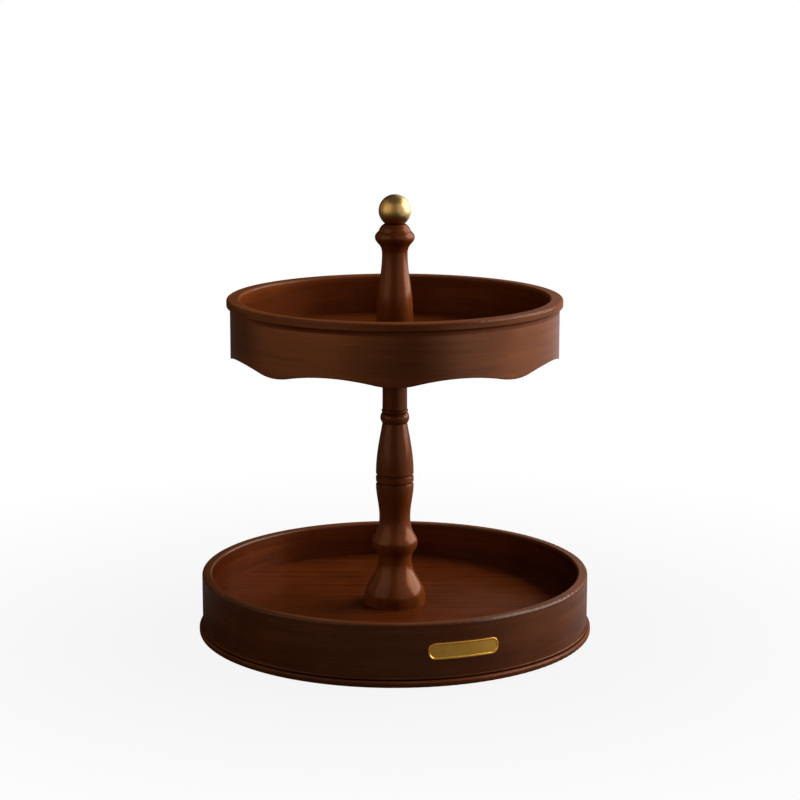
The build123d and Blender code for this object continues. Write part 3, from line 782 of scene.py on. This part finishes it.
post_grooves = groove_circles(post_low, post_high, POST_GROOVE_RADIUS, POST_GROOVE_SHARES, GROOVE_REACH)
post_quirks = groove_circles(post_low, post_high, POST_QUIRK_RADIUS, POST_QUIRK_SHARES, QUIRK_REACH)
shaft_quirks = groove_circles(shaft_low, shaft_high, SHAFT_QUIRK_RADIUS, SHAFT_QUIRK_SHARES, QUIRK_REACH)
grooves = {"lower_post": post_grooves + post_quirks, "upper_post": shaft_quirks}

# Materials of the frame's own nodes, with a seed for each wooden piece
for seed, (node, (name, cut, stain, finish)) in enumerate(WOODS.items(), start=1):
    wear = (rubbed_highlight_edges.get(node, ()), grooves.get(node, ()), rounded_tops.get(node))
    dress(node, stained_wood(name, cut, seed, stain, finish, *wear))
for node, (name, metal) in METAL_PIECES.items():
    dress(node, machined_metal(name, **metal))
dress("finial_ball", satin_brass("ball_brass", **BALL_BRASS))
dress("ball_cage", moulded("cage_nylon", **CAGE_NYLON))
dress("base_feet", moulded("foot_rubber", **FOOT_RUBBER))

# Brass plate with its raised border, left bare
plate_low, plate_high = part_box("nameplate")
plate = surface(
    "bordered_plate",
    [plate_grid(plate_high.z - plate_low.z, (plate_high.z + plate_low.z) / 2)],
    satin_brass("plate_brass", **PLATE_BRASS),
)
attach(plate, "carousel")
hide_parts("nameplate")

# Cross-headed screws that hold the inner race, seen through the base ring
screw_low, screw_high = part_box("inner_race_screws")
screw_turns = [2 * math.pi * step / SCREW_COUNT for step in range(SCREW_COUNT)]
screws = surface(
    "cross_screws",
    [screw_grid(screw_high.z - screw_low.z, screw_low.z, turn) for turn in screw_turns],
    machined_metal("cross_screw_zinc", **ZINC),
)
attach(screws, "carousel")
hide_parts("inner_race_screws")


def studio_paper():
    """Matt paper that the camera sees white away from the object and a little less so near it, where the
    object's shadow stays. Mirrored rays see it white on the right window's side and warm in a patch at the
    left front. Elsewhere they see the paper itself."""
    material, shader, place = new_material("studio_paper")
    x, y, _ = axes(place)
    rays = ("Is Camera Ray", "Is Glossy Ray", "Is Transmission Ray")
    camera, glossy, through = [place.node("ShaderNodeLightPath", {}, {}, ray) for ray in rays]
    in_front = ramp(y, 0.0, -FRONT_DEPTH)
    window_side = ramp(x - in_front * FRONT_RETREAT, *WINDOW_SIDE_FADE)
    front_left_place = x * FRONT_LEFT_DIRECTION[0] + y * FRONT_LEFT_DIRECTION[1]
    front_left = ramp(front_left_place, *FRONT_LEFT_FADE)
    mirrored = window_side + front_left * FRONT_LEFT_SHARE
    seen = camera + camera.math("MAXIMUM", glossy, through) * mirrored
    far_gain = PAPER_FAR_SHARE - PAPER_NEAR_SHARE
    white_share = PAPER_NEAR_SHARE + far_gain * ramp(length(x, y), *PAPER_FADE)
    feed(shader, {
        "Base Color": PAPER_COLOUR,
        "Roughness": PAPER_ROUGHNESS,
        "Specular IOR Level": PAPER_SPECULAR,
    })
    tint = mix(front_left * (1.0 - camera), PAPER_WHITE, FRONT_LEFT_COLOUR)
    white = tint.node("ShaderNodeEmission", {}, {"Color": tint, "Strength": 1.0})
    show_blend(seen * white_share, shader_wire(shader), white)
    return material


def build_studio():
    """A round floor that bends up into a wall: a profile of radius and height turned about the axis."""
    bend = np.linspace(0.0, QUARTER_TURN, STUDIO_BEND_STEPS)
    reach = STUDIO_RADIUS - STUDIO_BEND
    middle = reach * STUDIO_MIDDLE_SHARE
    radius = np.concatenate([[0.0, middle], reach + STUDIO_BEND * np.sin(bend), [STUDIO_RADIUS]])
    height = np.concatenate([[0.0, 0.0], STUDIO_BEND * (1 - np.cos(bend)), [STUDIO_HEIGHT]])
    angle = np.linspace(0.0, 2 * math.pi, STUDIO_SIDES, endpoint=False)
    grid = np.stack([
        np.outer(radius, np.cos(angle)),
        np.outer(radius, np.sin(angle)),
        np.outer(height, np.ones_like(angle)),
    ], axis=-1)
    surface("studio", [grid], studio_paper())


def aim(thing, target):
    """Turn a lamp so that it faces a point."""
    direction = Vector(target) - thing.location
    thing.rotation_euler = direction.to_track_quat("-Z", "Y").to_euler()


def build_lights():
    """The two windows as soft rectangles that face the object and that the camera doesn't see, and a dim even
    world."""
    for name, lamp in LAMPS.items():
        data = bpy.data.lights.new(name, "AREA")
        data.shape = "RECTANGLE"
        data.size, data.size_y = lamp["size"]
        data.energy = lamp["power"]
        data.color = lamp["colour"]
        light = bpy.data.objects.new(name, data)
        light.location = lamp["place"]
        light.visible_camera = False
        aim(light, LAMP_AIM)
        bpy.context.scene.collection.objects.link(light)
    world = bpy.data.worlds.new("studio")
    world.use_nodes = True
    feed(world.node_tree.nodes["Background"], {"Color": WORLD_COLOUR, "Strength": WORLD_STRENGTH})
    bpy.context.scene.world = world


def build_camera():
    """The photograph's camera."""
    data = bpy.data.cameras.new("photo_camera")
    data.lens = CAMERA_LENS
    data.sensor_width = CAMERA_SENSOR
    data.shift_x = FRAME_SHIFT
    camera = bpy.data.objects.new("photo_camera", data)
    camera.location = (0.0, -CAMERA_BACK, CAMERA_HEIGHT)
    camera.rotation_euler = (QUARTER_TURN - CAMERA_PITCH, 0.0, 0.0)
    bpy.context.scene.collection.objects.link(camera)
    bpy.context.scene.camera = camera


build_studio()
build_lights()
build_camera()
bpy.context.scene.view_settings.view_transform = "Standard"
